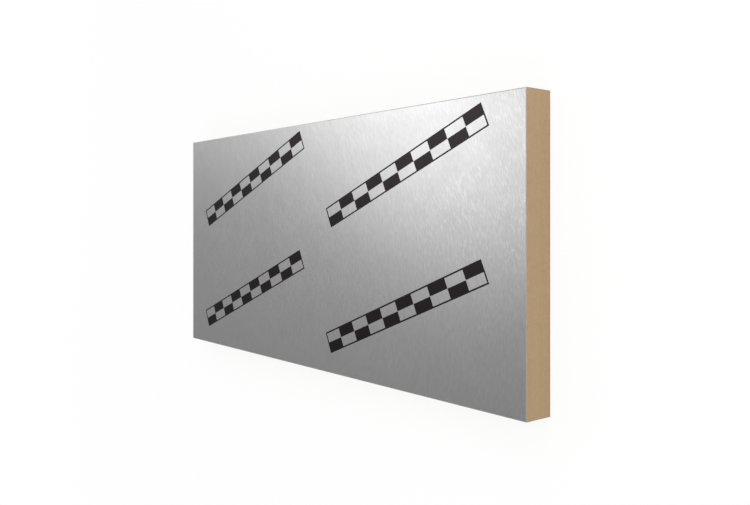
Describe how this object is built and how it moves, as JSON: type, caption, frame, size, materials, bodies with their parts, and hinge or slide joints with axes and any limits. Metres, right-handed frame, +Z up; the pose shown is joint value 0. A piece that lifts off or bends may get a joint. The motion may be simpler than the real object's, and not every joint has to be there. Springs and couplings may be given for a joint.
{
  "type": "polyiso insulation board",
  "caption": "Rigid polyiso foam insulation board with square-cut edges and composite foil facers bonded to its large faces, lying flat.",
  "frame": {"origin": "middle of the underside, on the surface that the board lies on", "axes": "+X along the length, +Y across the width, +Z up through the thickness, out of the top foil facer"},
  "size_m": [2.4, 1.2, 0.14],
  "materials": {
    "foam": "matte",
    "foil_facer": "satin"
  },
  "bodies": {
    "root": {"foam_core": "foam", "top_foil_facer": "foil_facer", "bottom_foil_facer": "foil_facer"}
  },
  "joints": []
}
